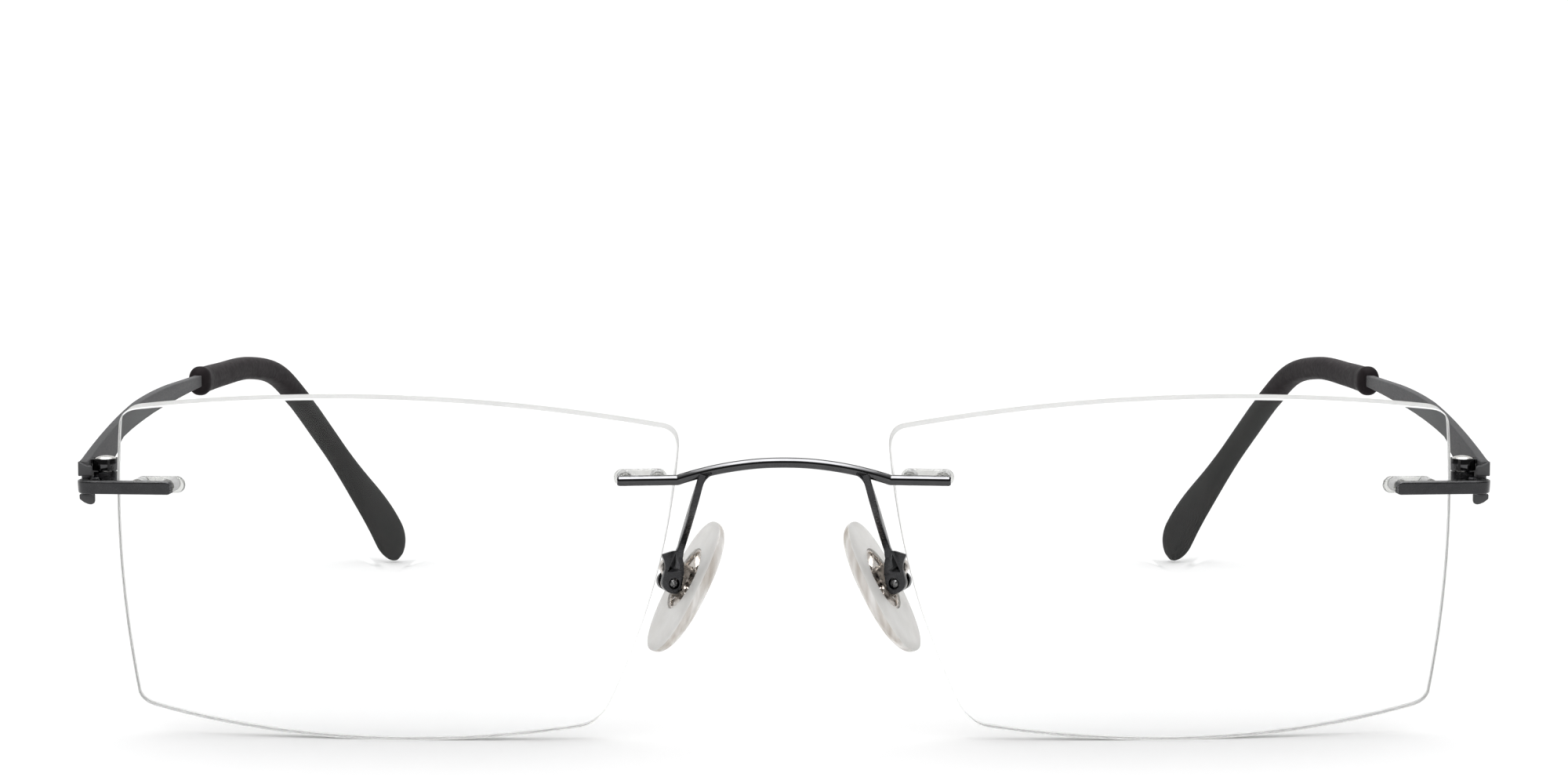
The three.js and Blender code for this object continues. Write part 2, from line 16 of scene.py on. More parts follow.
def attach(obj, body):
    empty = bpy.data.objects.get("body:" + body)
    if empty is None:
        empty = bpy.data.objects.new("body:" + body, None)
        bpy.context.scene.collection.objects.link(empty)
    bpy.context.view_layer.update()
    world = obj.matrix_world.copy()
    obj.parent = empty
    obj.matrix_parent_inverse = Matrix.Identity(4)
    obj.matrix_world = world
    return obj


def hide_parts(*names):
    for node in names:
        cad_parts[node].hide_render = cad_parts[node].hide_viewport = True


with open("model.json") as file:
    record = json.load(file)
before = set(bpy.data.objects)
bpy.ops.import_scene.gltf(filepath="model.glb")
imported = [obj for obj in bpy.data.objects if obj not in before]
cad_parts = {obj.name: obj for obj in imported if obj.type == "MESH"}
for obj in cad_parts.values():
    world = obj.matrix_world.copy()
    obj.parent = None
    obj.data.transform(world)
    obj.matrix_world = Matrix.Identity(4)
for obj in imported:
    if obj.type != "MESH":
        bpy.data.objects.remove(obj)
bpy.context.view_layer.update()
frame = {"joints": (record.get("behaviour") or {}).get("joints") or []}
JOINTS = {joint["name"]: joint for joint in frame["joints"]}

# ---- places, from the frame ----

MM = 0.001
HINGE = Vector((-65.3, 4.25, 24.5))
PAD_SCREW_POINT = Vector((-10.95, 2.6, 14.77))
HINGE_ROW = Vector(JOINTS["right_temple_fold"]["pos_m"]) / MM
PAD_ROW = Vector(JOINTS["right_pad_rock"]["pos_m"]) / MM
SHIFT = Vector((0, HINGE_ROW.y - HINGE.y, PAD_ROW.z - PAD_SCREW_POINT.z))
TO_ROW = Matrix.Scale(MM, 4) @ Matrix.Translation(SHIFT)
MIRROR = Matrix.Scale(-1, 4, Vector((1, 0, 0)))
SIDES = ("right", "left")
UP = Vector((0, 0, 1))

# An edge that turns more than these is bevelled, and is shaded as sharp
BEVEL_ANGLE = math.radians(28)
SHARP_ANGLE = math.radians(32)

# Camera, in the design frame
CAMERA_PLACE = Vector((0, -300, 56.3))
CAMERA_PITCH = 4.387
CAMERA_LENS = 72.9
CAMERA_SENSOR = 36

# Light, as strengths of the world
DIFFUSE_LIGHT = 1.25
DARK_ROOM = 0.1
CEILING = 1.1
SOFT_BOX = 12.0

# Where a reflection that goes in direction (x, y, z) begins to see each light, and sees it fully
CEILING_Z = (0.45, 0.8)
SOFT_BOX_Z = (0.68, 0.78)
SOFT_BOX_X = (0.5, 0.3)
SOFT_BOX_Y = (0.45, 0.2)
BACKDROP_Y = (0.1, 0.5)

# How much of plain glass's reflection the lens coating leaves
LENS_COATING = (0.25, 0.28, 0.26, 1)

# ---- driving dimensions, in millimetres ----

LENS_FRONT_RADIUS = 132
LENS_THICKNESS = 2.0
LENS_APEX = Vector((-37.0, -3.5, 16.2))
LENS_LEAN = math.radians(9)
LENS_WRAP = math.radians(4)
LENS_BEVEL = 0.12
LENS_RINGS = (0.08, 0.2, 0.34, 0.48, 0.62, 0.76, 0.88, 0.96, 1)

# Further out than this, the bevel of the front rim is ground like the edge
TEMPORAL_RIM = -25.7

PLUG_HOLE_RADIUS = 0.68

# Drill points on the lens, right and up of its centre, and the turn of each pair of holes
TEMPORAL_MOUNT = (-22.93, 7.96, math.radians(2.5))
NASAL_MOUNT = (23.65, 8.96, math.radians(-1.3))
PIN_PLACES = (-1.55, 1.55)
PIN_RADIUS = 0.32
FACE_GAP = 0.3

PLUG_LENGTH = 5.0
PLUG_HEIGHT = 1.6
PLUG_DROP = 0.18
PLUG_THICKNESS = 0.55
PLUG_GAP = 0.2
PLUG_BARREL_RADIUS = 0.64
PLUG_BORE_RADIUS = 0.37

BRIDGE_RADIUS = 0.49
BRIDGE_KINK_X = 9.95
BRIDGE_CREST = Vector((0, -5.4, 27.1))
BRIDGE_BAR_START = -2.35

BOX_TOWARDS_NOSE = Vector((0.9, 0.435, -0.05))
BOX_UP = Vector((0.15, 0.05, 0.985))
PAD_ROCK = math.radians(-26)
ARM_ROOT = Vector((-7.6, -5.3, 26.0))
ARM_TOP = Vector((-7.86, -5.15, 25.08))
ARM_FOOT = Vector((-10.12, 2.3, 17.35))
ARM_WIDTH = 0.69
ARM_DEPTH = 1.0
FILLET_DEPTH = 0.8
FILLET_BACK = 0.12
BOX_HALF_DEPTH = 1.05
BOX_SLOT_HALF = 0.5

# How far the back of the pad box draws in: its outer side low down, its outer side in all, its top
BOX_DRAW_LOW = 0.28
BOX_DRAW_HIGH = 0.85
BOX_DRAW_TOP = 0.4

PAD_SCREW_HOLE = 0.55
PAD_SCREW_RADIUS = 0.47
TAB_HALF = 0.34
TAB_EYE_RADIUS = 0.9
TAB_LOBE = (-0.69, 1.17)
TAB_LOBE_RADIUS = 1.06
PAD_DOME = 1.8
PAD_BACK = 0.35
PAD_HALF_LENGTH = 6.9
PAD_HALF_WIDTH = 3.3
PAD_BLUNTNESS = 2.4
PAD_CENTRE = Vector((1.5, 0.3, 0))
# The pad's wall is the faces whose normal has an x between these; they carry streaks of painted
# reflection of the insert plate
PAD_REFLECTION_WALL = (-0.75, 0.93)
PAD_POCKET_ROOM = 0.08
INSERT_CENTRE = Vector((1.5, 0.98, 0))
INSERT_HALF_LENGTH = 3.15
INSERT_HALF_WIDTH = 1.8
INSERT_HALF_THICKNESS = 0.2
INSERT_RIM = 0.24

BAR_HEIGHT = 1.22
BAR_THICKNESS = 0.9
LOWER_KNUCKLE = (1.15, 23.42, 25.3)
UPPER_KNUCKLE = (1.22, 25.42, 26.6)
HINGE_BORE_RADIUS = 0.72
HEAD_RECESS = (1.1, 26.35)
SCREW_SEAT = 26.43
SCREW_CROWN = 26.86
SCREW_HEAD_RADIUS = 1.03

BLADE_OUTER_X = -67.5
BLADE_THICKNESS = 0.9
BLADE_FRONT_Y = 2.0
BLADE_START_Y = 2.45
BLADE_END_Y = 62.3
CLAW_THICKNESS = 0.75
UPPER_CLAW_REACH = 1.28
LOWER_CLAW_REACH = 1.5
SLOT_END_Y = 3.5
SLOT_BOTTOM = 23.3
SLOT_TOP = 25.05

TIP_LINE = (
    Vector((-67.05, 60.0, 29.72)),
    Vector((-66.7, 74.0, 29.65)),
    Vector((-65.4, 87.0, 29.55)),
    Vector((-63.9, 98.0, 28.0)),
    Vector((-62.6, 106.0, 24.7)),
    Vector((-60.6, 115.0, 19.2)),
    Vector((-57.5, 122.6, 12.2)),
    Vector((-54.7, 128.8, 5.9)),
    Vector((-52.65, 132.21, 0.46)),
)
SLEEVE_START = 0.029
SLEEVE_FRONT = (2.3, 3.0)
SLEEVE_BODY = (2.8, 2.75)
SLEEVE_PADDLE = (2.1, 5.55)

# Along the sleeve, from 0 to 1
SLEEVE_SWELL = (0, 0.2)
SLEEVE_FLATTEN = (0.72, 0.94)
SLEEVE_ROUND_FRONT = 0.014
SLEEVE_BEAD = (0.012, 0.045)
SLEEVE_ROUND_BACK = 0.05

# ---- small geometry helpers: every form is a bmesh in millimetres ----


def lerp(a, b, t):
    return a + (b - a) * t


def smoothstep(x, low, high):
    t = min(max((x - low) / (high - low), 0.0), 1.0)
    return t * t * (3 - 2 * t)


def quadratic(start, control, end, steps):
    """Points of a quadratic arc in the plane, without its start."""
    points = []
    for i in range(1, steps + 1):
        t = i / steps
        a, b, c = (1 - t) ** 2, 2 * t * (1 - t), t ** 2
        points.append(tuple(a * s + b * m + c * e for s, m, e in zip(start, control, end)))
    return points


def path(start, *pieces):
    """An outline in the plane: each piece is (end,) for a line or (control, end, steps) for an
    arc."""
    points = [start]
    for piece in pieces:
        if len(piece) == 1:
            points.append(piece[0])
        else:
            points += quadratic(points[-1], *piece)
    return points


def arc(centre, radius, start, end, steps):
    """Points of a circular arc in the plane, from one angle to the other, in degrees."""
    points = []
    for i in range(steps + 1):
        angle = math.radians(lerp(start, end, i / steps))
        points.append((centre[0] + radius * math.cos(angle), centre[1] + radius * math.sin(angle)))
    return points


def smooth_line(points, steps):
    """A centripetal Catmull-Rom line through 3-D points, evenly spaced along its length."""
    ends = [points[0] * 2 - points[1]] + list(points) + [points[-1] * 2 - points[-2]]
    dense = []
    for p0, p1, p2, p3 in zip(ends, ends[1:], ends[2:], ends[3:]):
        t1 = (p1 - p0).length ** 0.5
        t2 = t1 + (p2 - p1).length ** 0.5
        t3 = t2 + (p3 - p2).length ** 0.5
        for i in range(24):
            t = lerp(t1, t2, i / 24)
            a1 = p0.lerp(p1, t / t1)
            a2 = p1.lerp(p2, (t - t1) / (t2 - t1))
            a3 = p2.lerp(p3, (t - t2) / (t3 - t2))
            b1 = a1.lerp(a2, t / t2)
            b2 = a2.lerp(a3, (t - t1) / (t3 - t1))
            dense.append(b1.lerp(b2, (t - t1) / (t2 - t1)))
    dense.append(points[-1].copy())
    return even(dense, steps)


def even(dense, steps):
    """The same line with its points at equal distances."""
    lengths = [0.0]
    for a, b in zip(dense, dense[1:]):
        lengths.append(lengths[-1] + (b - a).length)
    spaced = []
    k = 0
    for i in range(steps + 1):
        goal = lengths[-1] * i / steps
        while k < len(dense) - 2 and lengths[k + 1] < goal:
            k += 1
        span = lengths[k + 1] - lengths[k]
        spaced.append(dense[k].lerp(dense[k + 1], (goal - lengths[k]) / span))
    return spaced


def prism(points, bottom, top):
    """A flat outline pushed along Z."""
    bm = bmesh.new()
    low = [bm.verts.new((x, y, bottom)) for x, y in points]
    high = [bm.verts.new((x, y, top)) for x, y in points]
    bm.faces.new(reversed(low))
    bm.faces.new(high)
    for i in range(len(points)):
        j = (i + 1) % len(points)
        bm.faces.new((low[i], low[j], high[j], high[i]))
    bmesh.ops.recalc_face_normals(bm, faces=bm.faces)
    return bm


def box(low, high):
    points = [(low[0], low[1]), (high[0], low[1]), (high[0], high[1]), (low[0], high[1])]
    return prism(points, low[2], high[2])


def turned(profile, sides=48, centre=(0, 0)):
    """A profile of (radius, z) turned about a line along Z; it starts and ends on the axis,
    or closes on itself."""
    bm = bmesh.new()
    rings = []
    for radius, z in profile:
        if radius < 1e-6:
            rings.append([bm.verts.new((centre[0], centre[1], z))])
            continue
        ring = []
        for k in range(sides):
            angle = 2 * math.pi * k / sides
            x = centre[0] + radius * math.cos(angle)
            ring.append(bm.verts.new((x, centre[1] + radius * math.sin(angle), z)))
        rings.append(ring)
    closed = len(rings[0]) > 1
    pairs = list(zip(rings, rings[1:] + rings[:1])) if closed else list(zip(rings, rings[1:]))
    for a, b in pairs:
        for k in range(sides):
            n = (k + 1) % sides
            if len(a) == 1:
                bm.faces.new((a[0], b[n], b[k]))
            elif len(b) == 1:
                bm.faces.new((a[k], a[n], b[0]))
            else:
                bm.faces.new((a[k], a[n], b[n], b[k]))
    bmesh.ops.recalc_face_normals(bm, faces=bm.faces)
    return bm


def rod(radius, bottom, top, centre=(0, 0), edge=0.06, sides=40):
    """A round bar along Z with small round edges."""
    profile = [(0, bottom)]
    profile += [(radius - edge + edge * math.sin(a), bottom + edge - edge * math.cos(a))
                for a in (0, 0.5, 1.05, math.pi / 2)]
    profile += [(radius - edge + edge * math.cos(a), top - edge + edge * math.sin(a))
                for a in (0, 0.5, 1.05, math.pi / 2)]
    profile.append((0, top))
    return turned(profile, sides, centre)


def tube(outer, inner, bottom, top, centre=(0, 0), edge=0.06, sides=48):
    """A round bar along Z with a bore right through."""
    profile = [
        (inner, bottom + edge), (inner + edge, bottom),
        (outer - edge, bottom), (outer - edge * 0.3, bottom + edge * 0.3), (outer, bottom + edge),
        (outer, top - edge), (outer - edge * 0.3, top - edge * 0.3), (outer - edge, top),
        (inner + edge, top), (inner, top - edge),
    ]
    return turned(profile, sides, centre)


def sweep(line, section, up):
    """A closed section carried along a 3-D line, with flat ends. section(s) gives points
    (across, over), and over stays as near to the direction up as the line allows."""
    bm = bmesh.new()
    rings = []
    last = len(line) - 1
    for i, centre in enumerate(line):
        s = i / last
        forward = (line[min(i + 1, last)] - line[max(i - 1, 0)]).normalized()
        across = forward.cross(up).normalized()
        over = across.cross(forward)
        rings.append([bm.verts.new(centre + across * a + over * b) for a, b in section(s)])
    sides = len(rings[0])
    for a, b in zip(rings, rings[1:]):
        for k in range(sides):
            n = (k + 1) % sides
            bm.faces.new((a[k], a[n], b[n], b[k]))
    bm.faces.new(rings[0])
    bm.faces.new(rings[-1])
    bmesh.ops.recalc_face_normals(bm, faces=bm.faces)
    return bm


def round_section(width, height, power, sides):
    """A superellipse: power 2 is an ellipse, higher is a rectangle with round corners."""
    points = []
    for k in range(sides):
        angle = 2 * math.pi * (k + 0.5) / sides
        c, s = math.cos(angle), math.sin(angle)
        x = math.copysign(abs(c) ** (2 / power), c) * width / 2
        y = math.copysign(abs(s) ** (2 / power), s) * height / 2
        points.append((x, y))
    return points


def merged(*forms):
    """Several forms as one mesh, each keeping its own faces."""
    whole = bmesh.new()
    for form in forms:
        mesh = bpy.data.meshes.new("part")
        form.to_mesh(mesh)
        form.free()
        whole.from_mesh(mesh)
        bpy.data.meshes.remove(mesh)
    return whole


def moved(form, matrix):
    bmesh.ops.transform(form, matrix=matrix, verts=form.verts)
    if matrix.determinant() < 0:
        bmesh.ops.reverse_faces(form, faces=form.faces)
    return form


def temporary(form, name):
    mesh = bpy.data.meshes.new(name)
    form.to_mesh(mesh)
    form.free()
    thing = bpy.data.objects.new(name, mesh)
    bpy.context.scene.collection.objects.link(thing)
    return thing


def with_modifiers(form, others, settings):
    """The form after a list of (modifier type, {setting: value}) has been applied to it."""
    body = temporary(form, "body")
    helpers = [temporary(other, "helper") for other in others]
    for kind, values in settings(helpers):
        modifier = body.modifiers.new(kind.lower(), kind)
        for key, value in values.items():
            setattr(modifier, key, value)
    bpy.context.view_layer.update()
    shown = body.evaluated_get(bpy.context.evaluated_depsgraph_get())
    result = bmesh.new()
    result.from_mesh(shown.to_mesh())
    shown.to_mesh_clear()
    for thing in [body, *helpers]:
        mesh = thing.data
        bpy.data.objects.remove(thing)
        bpy.data.meshes.remove(mesh)
    return result


def combined(form, others, operation):
    def settings(helpers):
        return [("BOOLEAN", {"operation": operation, "solver": "EXACT", "object": helper})
                for helper in helpers]
    return with_modifiers(form, others, settings)


def with_bounds(form, outline, bottom, top):
    """The part of a form that lies over an outline."""
    return combined(form, [prism(outline, bottom, top)], "INTERSECT")


def cut(form, *tools):
    return combined(form, tools, "DIFFERENCE")


def bevelled(form, width, segments=3):
    def settings(_):
        return [("BEVEL", {"width": width, "segments": segments, "limit_method": "ANGLE",
                           "angle_limit": BEVEL_ANGLE, "harden_normals": False})]
    return with_modifiers(form, [], settings)


# ---- materials ----


class Paint:
    """A material with one Principled shader and short calls for its nodes. In the names of
    sockets given as arguments, an underscore stands for a space."""

    def __init__(self, name, **values):
        self.material = bpy.data.materials.new(name)
        self.material.use_nodes = True
        self.nodes = self.material.node_tree.nodes
        self.links = self.material.node_tree.links
        self.shader = self.nodes["Principled BSDF"]
        for key, value in values.items():
            self.shader.inputs[key.replace("_", " ")].default_value = value

    def node(self, kind, **values):
        made = self.nodes.new("ShaderNode" + kind)
        for key, value in values.items():
            name = key.replace("_", " ")
            if name in made.inputs:
                made.inputs[name].default_value = value
            else:
                setattr(made, key, value)
        return made

    def link(self, source, target):
        self.links.new(source, target)

    def noise(self, scale, detail=3.0, stretch=(1, 1, 1)):
        """Noise in object space; scale is in features per metre."""
        place = self.node("TexCoord")
        shape = self.node("Mapping")
        shape.inputs["Scale"].default_value = stretch
        texture = self.node("TexNoise", Scale=scale, Detail=detail)
        self.link(place.outputs["Object"], shape.inputs["Vector"])
        self.link(shape.outputs["Vector"], texture.inputs["Vector"])
        return texture.outputs["Fac"]

    def ramp(self, source, low, high):
        """Maps 0.3 to 0.7 of a noise onto a range of numbers."""
        spread = self.node("MapRange", From_Min=0.3, From_Max=0.7, To_Min=low, To_Max=high)
        self.link(source, spread.inputs["Value"])
        return spread.outputs["Result"]

    def tint(self, source, first, second):
        """Mixes two colours by a number."""
        mix = self.node("Mix", data_type="RGBA")
        self.link(source, mix.inputs["Factor"])
        mix.inputs[6].default_value = (*first, 1)
        mix.inputs[7].default_value = (*second, 1)
        self.link(mix.outputs[2], self.shader.inputs["Base Color"])

    def rough(self, source, low, high):
        self.link(self.ramp(source, low, high), self.shader.inputs["Roughness"])

    def bump(self, source, distance, strength=1.0):
        relief = self.node("Bump", Strength=strength, Distance=distance)
        self.link(source, relief.inputs["Height"])
        self.link(relief.outputs["Normal"], self.shader.inputs["Normal"])


def lens_face():
    """Clear glass with a coating that takes most of the reflection away."""
    paint = Paint("lens_face", IOR=1.5, Transmission_Weight=1.0, Specular_Tint=LENS_COATING)
    paint.tint(paint.ramp(paint.noise(60, 2), 0, 1), (0.985, 0.99, 0.99), (0.995, 0.997, 0.995))
    paint.rough(paint.noise(300, 2), 0.0, 0.004)
    return paint.material


def lens_edge(name, dark, light):
    """Ground glass: light comes through it, but no picture."""
    paint = Paint(name, IOR=1.5, Transmission_Weight=0.5)
    grind = paint.noise(5000, 4, (1, 1, 3))
    paint.tint(paint.ramp(paint.noise(700, 3), 0, 1), dark, light)
    paint.rough(grind, 0.5, 0.8)
    paint.bump(grind, 0.00002, 0.5)
    return paint.material


def plug_clear():
    """Clear plastic, a little cloudy."""
    paint = Paint("plug_clear", IOR=1.45, Transmission_Weight=0.8)
    paint.tint(paint.ramp(paint.noise(900, 2), 0, 1), (0.80, 0.80, 0.78), (0.94, 0.94, 0.92))
    paint.rough(paint.noise(2500, 2), 0.1, 0.3)
    return paint.material


def silicone(name, dark, light, stretch):
    """Soft clear silicone. On its wall the light and dark streaks are a painted reflection of the
    plate moulded into it, with painted highlight streaks.
    """
    paint = Paint(name, IOR=1.41, Transmission_Weight=0.35, Specular_IOR_Level=0.35)
    paint.tint(paint.ramp(paint.noise(700, 2, stretch), 0, 1), dark, light)
    paint.rough(paint.noise(900, 2), 0.14, 0.26)
    paint.bump(paint.noise(260, 1), 0.00002, 0.3)
    return paint.material


def metal(name, dark, light, rough, grain, stretch, depth, plating=1.0):
    """Plated metal, or lacquer where plating is low, with fine grain along one direction."""
    paint = Paint(name, Metallic=plating, IOR=1.08)
    lines = paint.noise(grain, 5, stretch)
    paint.tint(paint.ramp(paint.noise(grain / 6, 3), 0, 1), dark, light)
    paint.rough(lines, *rough)
    paint.bump(lines, depth, 0.5)
    return paint.material


def soft_touch():
    """Dark matt rubber."""
    paint = Paint("tip_soft_touch", IOR=1.08)
    paint.tint(paint.ramp(paint.noise(400, 3), 0, 1), (0.013, 0.011, 0.012), (0.018, 0.015, 0.016))
    grain = paint.noise(9000, 4)
    paint.rough(paint.noise(1800, 3), 0.42, 0.55)
    paint.bump(grain, 0.00002, 0.35)
    return paint.material


def floor_paint():
    paint = Paint("floor_white", Roughness=0.9, Specular_IOR_Level=0.0)
    paint.tint(paint.ramp(paint.noise(3, 2), 0, 1), (0.90, 0.90, 0.90), (0.92, 0.92, 0.92))
    return paint.material


MATERIALS = {
    "lens_face": lens_face(),
    "lens_edge": lens_edge("lens_edge", (0.54, 0.54, 0.53), (0.60, 0.60, 0.59)),
    "lens_rim": lens_edge("lens_rim", (0.95, 0.95, 0.94), (0.99, 0.99, 0.98)),
    "plug": plug_clear(),
    "silicone": silicone("pad_silicone", (0.84, 0.83, 0.81), (0.92, 0.915, 0.90),
                         stretch=(1, 1, 0.6)),
    # The wall's streaks, beige to near white, are a painted reflection of the insert plate, with
    # painted highlights
    "silicone_painted_reflection": silicone("pad_silicone_painted_reflection", (0.54, 0.485, 0.43), (0.96, 0.95, 0.93),
                              stretch=(1.5, 1.5, 0.2)),
    "gloss": metal("gunmetal_gloss", (0.066, 0.066, 0.068), (0.078, 0.078, 0.080),
                   rough=(0.06, 0.12), grain=3000, stretch=(0.2, 1, 1), depth=0.000004),
    "satin": metal("gunmetal_satin", (0.044, 0.044, 0.046), (0.054, 0.054, 0.056),
                   rough=(0.24, 0.32), grain=4000, stretch=(0.3, 1, 1), depth=0.00001),
    "blade": metal("gunmetal_blade", (0.072, 0.072, 0.074), (0.080, 0.080, 0.082),
                   rough=(0.45, 0.55), grain=5000, stretch=(1, 0.2, 1), depth=0.000003,
                   plating=0.08),
    "screw": metal("dark_steel", (0.22, 0.22, 0.22), (0.30, 0.30, 0.30),
                   rough=(0.2, 0.35), grain=6000, stretch=(1, 1, 0.3), depth=0.000006),
    "insert": metal("insert_steel", (0.50, 0.47, 0.44), (0.66, 0.62, 0.58),
                    rough=(0.2, 0.35), grain=3000, stretch=(1, 1, 0.4), depth=0.00001),
    "steel": metal("bright_steel", (0.48, 0.47, 0.45), (0.58, 0.57, 0.55),
                   rough=(0.12, 0.25), grain=6000, stretch=(1, 1, 0.3), depth=0.000006),
    "tip": soft_touch(),
}


def add_piece(form, name, body, node, materials):
    """Makes the form a piece that stands for a CAD node and rides on its body."""
    mesh = bpy.data.meshes.new(name)
    form.to_mesh(mesh)
    form.free()
    for material in materials:
        mesh.materials.append(MATERIALS[material])
    for polygon in mesh.polygons:
        polygon.use_smooth = True
    mesh.set_sharp_from_angle(angle=SHARP_ANGLE)
    thing = bpy.data.objects.new(name, mesh)
    bpy.context.scene.collection.objects.link(thing)
    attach(thing, body)
    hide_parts(node)
    return thing


def paint_faces(form, index, test):
    """Gives the faces that pass the test another of the piece's materials."""
    for face in form.faces:
        if test(face):
            face.material_index = index
    return form


# ---- frames that the pieces are made in ----

# Turns a plate drawn flat, y up, so that it faces along x
PLATE_TURN = Matrix(((0, 0, 1, 0), (0, 1, 0, 0), (-1, 0, 0, 0), (0, 0, 0, 1)))


def stood_up(back):
    """Stands an outline of x and z up, so that what was pushed along Z ends at y = back."""
    return Matrix(((1, 0, 0, 0), (0, 0, -1, back), (0, 1, 0, 0), (0, 0, 0, 1)))


def lens_frame():
    lean = Matrix.Rotation(math.pi / 2 + LENS_LEAN, 4, "X")
    wrap = Matrix.Rotation(-LENS_WRAP, 4, "Z")
    return Matrix.Translation(LENS_APEX) @ wrap @ lean


def mount_frame(mount):
    """On the front of the lens at a drill point: x along the pair of holes, z out of the lens."""
    pitch = math.asin(mount[1] / LENS_FRONT_RADIUS)
    yaw = math.asin(mount[0] / (LENS_FRONT_RADIUS * math.cos(pitch)))
    roll = Matrix.Rotation(mount[2], 4, "Z")
    swing = Matrix.Rotation(yaw, 4, "Y") @ Matrix.Rotation(-pitch, 4, "X")
    out = Matrix.Translation((0, 0, LENS_FRONT_RADIUS))
    return Matrix.Translation((0, 0, -LENS_FRONT_RADIUS)) @ swing @ out @ roll


def screw_frame(rock):
    """On the pad screw: x towards the nose, y up the pad, z along the screw to the front."""
    nose = BOX_TOWARDS_NOSE.normalized()
    front = nose.cross(BOX_UP).normalized()
    up = front.cross(nose)
    turn = Matrix((nose, up, front)).transposed().to_4x4()
    return Matrix.Translation(PAD_SCREW_POINT) @ turn @ Matrix.Rotation(rock, 4, "Z")


LENS = lens_frame()
TEMPORAL = mount_frame(TEMPORAL_MOUNT)
NASAL = mount_frame(NASAL_MOUNT)

# ---- lens and plugs ----


def lens_outline():
    points = path(
        (25.5, 13.7),
        ((1.4, 18.99), (-24.2, 15.35), 64),
        ((-26.05, 15.08), (-26.15, 13.6), 24),
        ((-27.3, 1.3), (-25.75, -13.0), 48),
        ((-25.5, -13.9), (-24.2, -14.25), 20),
        ((-4.6, -18.45), (17.4, -15.55), 60),
        ((19.2, -15.15), (20.4, -12.6), 24),
        ((25.8, -1.1), (26.95, 11.5), 48),
        ((27.0, 13.4), (25.5, 13.7), 24),
    )
    return points[:-1]


def inset(points, distance):
    """The outline moved inwards; the outline runs anticlockwise."""
    result = []
    count = len(points)
    for i, (x, y) in enumerate(points):
        ax, ay = points[i - 1]
        bx, by = points[(i + 1) % count]
        along = Vector((bx - ax, by - ay)).normalized()
        result.append((x - along.y * distance, y + along.x * distance))
    return result


def lens_face_z(x, y, radius):
    return math.sqrt(radius ** 2 - x ** 2 - y ** 2) - LENS_FRONT_RADIUS


def lens_form():
    """Two curved faces, a ground edge and a narrow safety bevel on each rim."""
    outline = lens_outline()
    rim = inset(outline, LENS_BEVEL)
    bm = bmesh.new()

    def ring(points, radius, drop=0.0):
        return [bm.verts.new((x, y, lens_face_z(x, y, radius) + drop)) for x, y in points]

    def band(first, second, material):
        count = len(first)
        for k in range(count):
            n = (k + 1) % count
            face = bm.faces.new((first[k], first[n], second[n], second[k]))
            face.material_index = material

    def dome(radius):
        """One curved face; gives back the ring on its rim."""
        rings = [ring([(x * s, y * s) for x, y in rim], radius) for s in LENS_RINGS]
        centre = bm.verts.new((0, 0, lens_face_z(0, 0, radius)))
        for k in range(len(rim)):
            n = (k + 1) % len(rim)
            bm.faces.new((centre, rings[0][k], rings[0][n]))
        for a, b in zip(rings, rings[1:]):
            band(a, b, 0)
        return rings[-1]

    def by_the_temple(face):
        return face.material_index == 2 and face.calc_center_median().x < TEMPORAL_RIM

    back_radius = LENS_FRONT_RADIUS - LENS_THICKNESS
    front_rim = dome(LENS_FRONT_RADIUS)
    back_rim = dome(back_radius)
    edge_front = ring(outline, LENS_FRONT_RADIUS, -LENS_BEVEL)
    edge_back = ring(outline, back_radius, LENS_BEVEL)
    band(front_rim, edge_front, 2)
    paint_faces(bm, 1, by_the_temple)
    band(edge_front, edge_back, 1)
    band(edge_back, back_rim, 2)
    bmesh.ops.recalc_face_normals(bm, faces=bm.faces)
    return bm


def drilled_lens():
    tools = []
    for mount in (TEMPORAL, NASAL):
        for x in PIN_PLACES:
            hole = rod(PLUG_HOLE_RADIUS, -4, 3, (x, 0), sides=28)
            paint_faces(hole, 2, lambda face: True)
            tools.append(moved(hole, mount))
    return cut(lens_form(), *tools)


def plug_form():
    """A plate behind the lens and two barrels that line the holes."""
    front = -LENS_THICKNESS - PLUG_GAP
    back = front - PLUG_THICKNESS
    reach = (PLUG_LENGTH - PLUG_HEIGHT) / 2
    radius = PLUG_HEIGHT / 2
    outline = arc((reach, 0), radius, -90, 90, 14) + arc((-reach, 0), radius, 90, 270, 14)
    outline = [(x, y - PLUG_DROP) for x, y in outline]
    plate = bevelled(prism(outline, back, front), 0.16, 4)
    barrels = [tube(PLUG_BARREL_RADIUS, PLUG_BORE_RADIUS, front - 0.1, -0.1, (x, 0), 0.05)
               for x in PIN_PLACES]
    return merged(plate, *barrels)


def pin_forms(front):
    """Bright pins through the lens, the second of their piece's materials."""
    rods = [rod(PIN_RADIUS, -LENS_THICKNESS + 0.1, front, (x, 0)) for x in PIN_PLACES]
    return [paint_faces(pin, 1, lambda face: True) for pin in rods]


# ---- bridge ----


def bridge_line():
    bar_z = FACE_GAP + BRIDGE_RADIUS
    place = LENS @ NASAL
    start = place @ Vector((BRIDGE_BAR_START, 0, bar_z))
    ahead = place @ Vector((0, 0, bar_z))
    slope = (ahead - start) / (ahead.x - start.x)

    def on_bar(x):
        return start + slope * (x - start.x)

    kink = on_bar(-BRIDGE_KINK_X)
    half = [start, on_bar(-BRIDGE_KINK_X - 2.5), on_bar(-BRIDGE_KINK_X - 0.35), kink]
    for x in (-9.6, -8.2, -6.0, -3.6, -1.4):
        drop = (x / BRIDGE_KINK_X) ** 2
        y = lerp(BRIDGE_CREST.y, kink.y, drop)
        half.append(Vector((x, y, lerp(BRIDGE_CREST.z, kink.z, drop))))
    mirrored = [Vector((-p.x, p.y, p.z)) for p in reversed(half)]
    return smooth_line(half + mirrored, 220)


